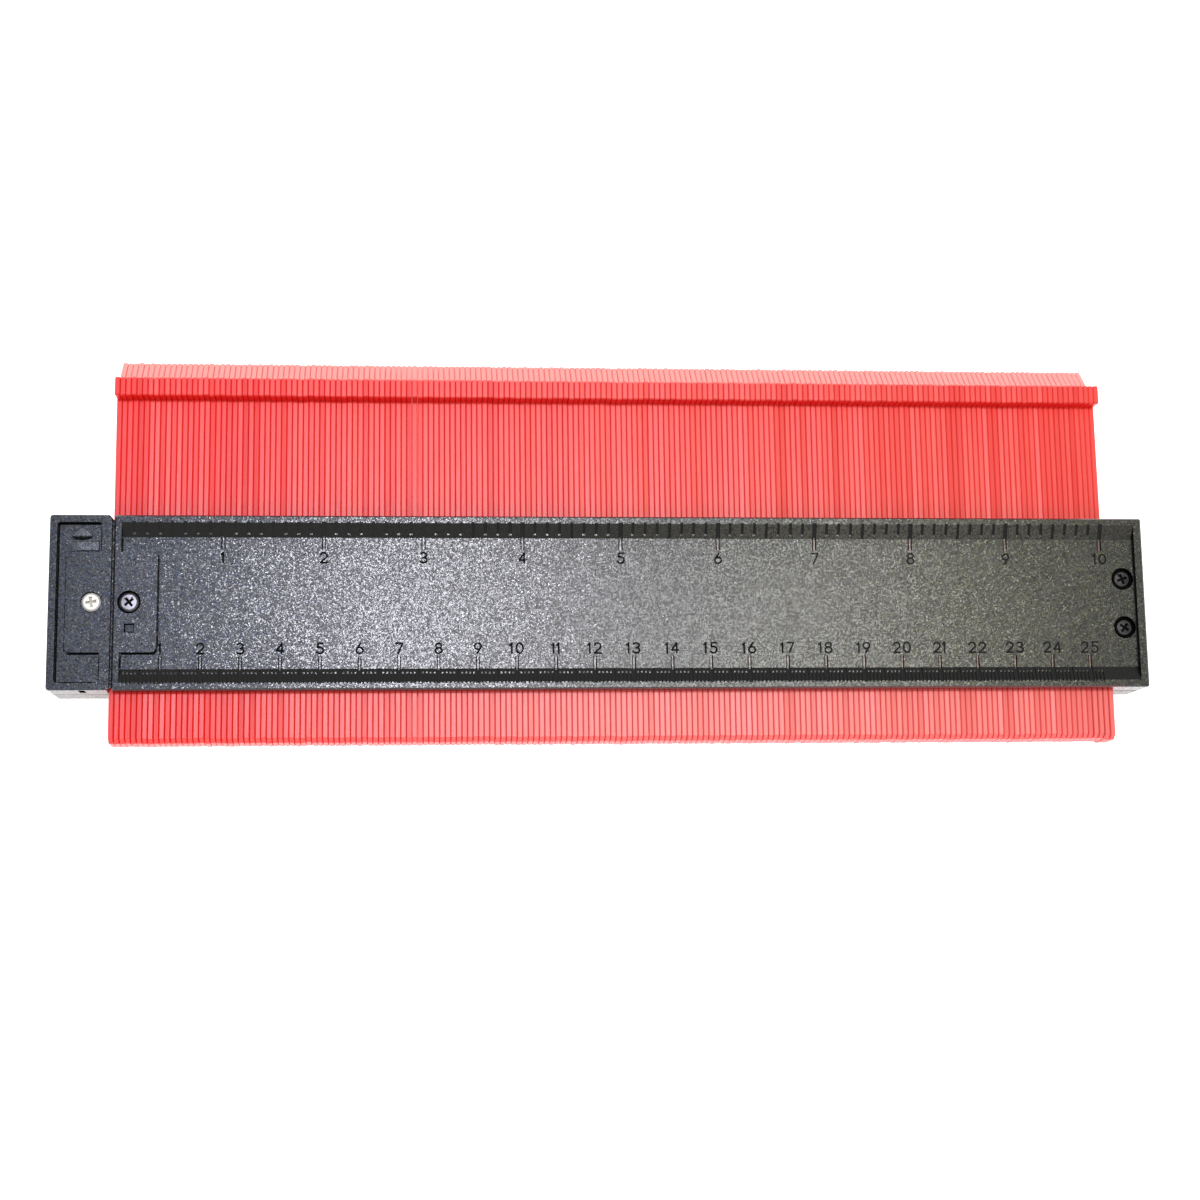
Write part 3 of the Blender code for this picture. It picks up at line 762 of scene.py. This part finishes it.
def shell_faces(centres, normals, index):
    """Grain on the panel, rim finish on rim and sides, strip finish on the slopes, and the near-black
    finish as painted shade on upright walls and round the screws. Floors of long ticks shine like the
    rim, numbers are paler on the right, and slots of the lower scale, and of the upper one where it
    is in shade, are hardly darker than their strip."""
    x, y, z = centres[:, 0], np.abs(centres[:, 1]), centres[:, 2]
    level, upright = normals[:, 2] > 0.99, np.abs(normals[:, 2]) < 0.5
    outside = (y > HALF_WIDTH - 0.4) | (x > RIGHT_END - 0.4)
    chosen = np.where(level & (y < SLOPE_TOP - 0.1) & (x < RIGHT_END - RIGHT_RIM), GRAIN, RIM)
    chosen = np.where(~level & ~upright & (normals[:, 2] > 0.85) & (y < SLOPE_TOP), STRIP, chosen)
    chosen = np.where(upright & ~outside, PAINTED_SHADE, chosen)
    to_pad_screw = np.hypot(x - PAD_SCREW_X, y)
    to_housing_screw = np.hypot(x - HOUSING_SCREW_X, y - HOUSING_SCREW_Y)
    ring = np.minimum(to_pad_screw, to_housing_screw) < SCREW_RING
    sunk = (z < PANEL_Z - 0.1) | (x < 10) & (z < THICKNESS - 0.1)
    chosen = np.where(ring & sunk, PAINTED_SHADE, chosen)
    window = (np.abs(x - LUG_X) < 1.6) & (np.abs(centres[:, 1] - LUG_Y) < 1.4)
    chosen = np.where(window & upright, SLOT, chosen)

    floors = np.where(y > SLOPE_FOOT, GRAIN, np.where(y > SHALLOW_Y, RIM, PAINTED_SHADE))
    in_slot = np.where(level, floors, PAINTED_SHADE)
    in_slot = np.where((y < SHALLOW_Y) & (x > PALE_NUMBERS_FROM), SLOT, in_slot)
    in_slot = np.where(level & (x < 9.6) & (y < SLOPE_FOOT), PAINTED_SHADE, in_slot)
    in_slot = np.where(~level & ~upright & (y > SLOPE_FOOT - 0.2), SLOT, in_slot)
    faint = (y > SLOPE_FOOT) & ((centres[:, 1] < 0) | (x < SHADE_ENDS))
    in_slot = np.where(faint & (in_slot > STRIP), in_slot - 1, in_slot)
    return np.where(index == 1, in_slot, chosen)


counts = sort_faces(shell, BLACKS, shell_faces)
front = show("front_shell_engraved", shell, "housing", "black_plastic")
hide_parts("front_shell")
print("front shell faces by finish:", counts.tolist())

# %% [markdown]
# ## End block and screws
# The front half of the end block has the same grain as the shell, and its pocket walls and seam
# get painted shade. A copy of the solid, with a few grooves cut in and its faces sorted, shows
# that. The arrow is a lens-shaped groove between two low raised shapes; the groove's near-black
# finish is the painted shadow under the arrow's head. The screws are copies too: the cross recess
# in each head gets a darker finish than the head, as painted shade.

# %% End block front
END_SCREW_X, END_SCREW_ROOM = -7.15, 2.8
POCKET_RIGHT, PAD_HALF = -4.75, 12.8
GROOVE_Z = (PANEL_Z - 0.35, PANEL_Z + 0.3)
NOTCH_Z = (12.6, 17.3)


def block_faces(centres, normals, index):
    """Grain in the pocket and on the pad, rim finish on rim and outer sides, the near-black finish as
    painted shade on walls of the pocket, in the seam and in the cut grooves, but not at the screw's rim."""
    x, y, z = centres[:, 0], np.abs(centres[:, 1]), centres[:, 2]
    upright = np.abs(normals[:, 2]) < 0.5
    outside = (y > HALF_WIDTH - 1.2) | (x < LEFT_END + 0.8)
    edge = (y > SLOPE_TOP) | (x < LEFT_END + 1.9) | ((x > POCKET_RIGHT) & (y > PAD_HALF))
    rim = (z > THICKNESS - 0.6) & edge
    seam = (x > -2.36) & (z < THICKNESS - 0.5) & (y > 10.4)
    dark = (upright & ~outside) | (index == 1) | seam
    dark &= np.hypot(x - END_SCREW_X, y) > END_SCREW_ROOM
    return np.where(dark, PAINTED_SHADE, np.where(rim | outside, RIM, GRAIN))


# The lens is a groove just under the arrow's head; its near-black finish is the painted shadow of the head.
lens = [(-12.6, 16.95), (-11.6, 16.3), (-10, 16.05), (-8.2, 16.3), (-7.0, 16.95)]
notch = [(-10.0, -23), (-8.4, -23), (-8.4, -21.8), (-10.0, -21.8)]
outlines = [
    groove_cutter([(-5.2, 20.27), (-15.69, 20.27), (-15.69, -20.2)], 0.45),
    groove_cutter([(-13.1, -13.03), (-5.3, -13.03)], 0.4),
    groove_cutter([(-5.0, 19.8), (-5.0, 13.3)], 0.4, 0.5),
    groove_cutter([(-5.4, 13.02), (-12.4, 13.02), (-13.71, 11.7), (-13.71, -12.3)], 0.38, 0.5),
    groove_cutter([(-5.0, -13.5), (-5.0, -20.27), (-15.1, -20.27)], 0.38, 0.5),
    plate(lens, *GROOVE_Z),
    plate(notch, *NOTCH_Z),
]
block = merged_copy("end_block_front")
block.materials.clear()
block.materials.append(spark_black)
block = cut(block, outlines, painted_shade_black)
print("end block faces by finish:", sort_faces(block, BLACKS, block_faces).tolist())
block_piece = show("end_block_front_grained", block, "end_block", "black_plastic")
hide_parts("end_block_front")


# %% Arrow on the end block
def raised_sign(outline, low, high, ease):
    """A low raised shape: its outline carried from low to high, drawn in by ease at the top."""
    rings = ((outline, low), (outline, high - ease), (inset(outline, ease), high))
    points = np.concatenate([np.column_stack((ring, np.full(len(ring), z))) for ring, z in rings])
    return points, tube_faces(3, len(outline))


head = np.array([(-12.5, 17.1), (-7.1, 17.1), (-9.4, 19.4), (-10.2, 19.4)])
shaft = np.array([(-11.2, 13.4), (-5.6, 13.4), (-5.6, 15.75), (-11.2, 15.75)])
signs = [raised_sign(shape, PANEL_Z - 0.05, PANEL_Z + 0.35, 0.1) for shape in (head, shaft)]
arrow = make_mesh("release_arrow", signs)
# The top of the arrow in the rim finish, its walls in the near-black finish as painted shade.
sort_faces(arrow, BLACKS, lambda centres, normals, index: np.where(normals[:, 2] > 0.9, RIM, PAINTED_SHADE))
show("release_arrow", arrow, "end_block", "black_plastic")
print("arrow faces:", len(arrow.polygons))


# %% Screw heads
def screw_piece(node, body, slot, finish, recess_shade_finish):
    """A copy of a screw with the cross recess in its head in a darker finish, as painted shade."""
    mesh = merged_copy(node)
    low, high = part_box(node)
    middle = (low + high) / 2 / MM

    def faces_of_cross(centres, normals, index):
        away = np.hypot(centres[:, 0] + ZERO_X - middle.x, centres[:, 1] - middle.y)
        down = high.z / MM - centres[:, 2]
        return ((away < 1.5) & (down < 0.95) & (down > 0.12)).astype(int)

    counts = sort_faces(mesh, (finish, recess_shade_finish), faces_of_cross)
    mesh.shade_smooth()
    mesh.set_sharp_from_angle(angle=math.radians(32))
    piece = show(f"{node}_driven", mesh, body, slot)
    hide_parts(node)
    return counts.tolist()


print(
    "screw faces by finish:",
    screw_piece("end_block_screw", "end_block", "zinc_steel", zinc, zinc_painted_shade),
    screw_piece("bracket_screw", "housing", "black_steel", grey_steel, painted_shade_black),
    [
        screw_piece(name, "housing", "black_steel", black_steel, painted_shade_black)
        for name in ("housing_screw_upper", "housing_screw_lower")
    ],
)

# %% [markdown]
# ## The rest of the solids
# The other solids have the right shape already. A CAD node keeps its mesh, so a finish goes
# straight into its material slot.

# %% Finishes of the solids
def dress(names, finish):
    """Puts one finish into every material slot of the named solids."""
    for name in names:
        if not nodes[name].material_slots:
            nodes[name].data.materials.append(finish)
        for slot in nodes[name].material_slots:
            slot.material = finish


# rim_black brings its painted reflection of the red fingers onto these too.
dress(["rear_shell", "end_block_rear"], rim_black)
# The bracket gets the darker strip finish, which paints shade on it.
dress(["coupling_bracket"], strip_black)
dress(["felt_strip_front", "felt_strip_rear"], felt)
print("solids dressed")

# %% [markdown]
# ## Floor
# The gauge lies on white. A plain pale sheet under it keeps the white of the photograph and sends
# light back up onto the sides of the housing.

# %% Floor
def sheet(width, length, height):
    """A flat grid of two by two points, centred under the gauge."""
    x, y = np.meshgrid(np.array([-width, width]) / 2, np.array([-length, length]) / 2)
    return np.stack((x.ravel(), y.ravel(), np.full(4, height)), 1)


floor_mesh = bpy.data.meshes.new("floor")
floor_mesh.from_pydata(sheet(6.0, 6.0, -0.0002), [], [(0, 1, 3, 2)])
floor = bpy.data.objects.new("floor", floor_mesh)
bpy.context.scene.collection.objects.link(floor)
paper = Finish("paper", Base_Color=(0.9, 0.9, 0.9, 1), Roughness=0.9, Specular_IOR_Level=0.1)
paper.drive(Emission_Color=(1, 1, 1, 1), Emission_Strength=1.1)
floor_mesh.materials.append(paper.material)
print("floor laid")
